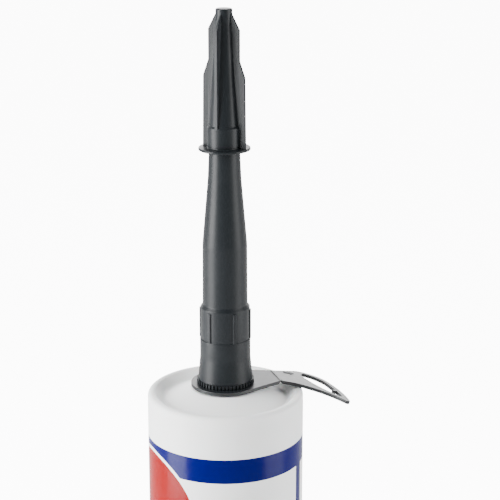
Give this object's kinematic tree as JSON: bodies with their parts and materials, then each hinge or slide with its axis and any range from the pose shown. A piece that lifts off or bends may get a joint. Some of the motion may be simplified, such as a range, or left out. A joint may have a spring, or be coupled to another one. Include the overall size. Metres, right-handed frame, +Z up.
{
  "type": "caulk cartridge with nozzle",
  "caption": "Round white sealant cartridge with a recessed shoulder, a screw-on tapered nozzle, a winged push-on cap and a folding tab ring.",
  "frame": {"origin": "on the barrel's axis, in the plane of its open lower end", "axes": "+Z up along the barrel's axis towards the nozzle; +X roughly towards the folding tab, which lies 17 degrees from it"},
  "size_m": [0.0648, 0.05, 0.3378],
  "materials": {
    "white_barrel": "satin white polyethylene with printed bands",
    "piston_white": "matt white polyethylene",
    "paste": "smooth grey-white paste",
    "anthracite": "satin anthracite polypropylene"
  },
  "bodies": {
    "barrel": {"cartridge": "white_barrel", "sealant": "paste"},
    "piston": {"piston": "piston_white"},
    "tab_ring": {"tab_ring": "anthracite"},
    "tab_arm": {"tab_arm": "anthracite"},
    "nozzle": {"nozzle": "anthracite"},
    "cap": {"cap": "anthracite"}
  },
  "joints": [
    {"name": "piston_push", "type": "slide", "parent": "barrel", "child": "piston", "axis": [0, 0, 1], "range_m": [0, 0.178], "deforming": ["sealant"]},
    {"name": "nozzle_rise", "type": "slide", "parent": "barrel", "child": "tab_ring", "axis": [0, 0, 1], "range_m": [0, 0.009]},
    {"name": "nozzle_turn", "type": "hinge", "parent": "tab_ring", "child": "nozzle", "pos_m": [0, 0, 0.218], "axis": [0, 0, 1], "range_deg": [0, 1080]},
    {"name": "tab_fold", "type": "hinge", "parent": "tab_ring", "child": "tab_arm", "pos_m": [0.01645, 0.00503, 0.218], "axis": [0.2924, -0.9563, 0], "range_deg": [0, 120]},
    {"name": "cap_pull", "type": "slide", "parent": "nozzle", "child": "cap", "axis": [0, 0, 1], "range_m": [0, 0.045]}
  ],
  "couplings": [
    {"joint": "nozzle_rise", "follows": "nozzle_turn", "m_per_rad": 0.00047746}
  ]
}
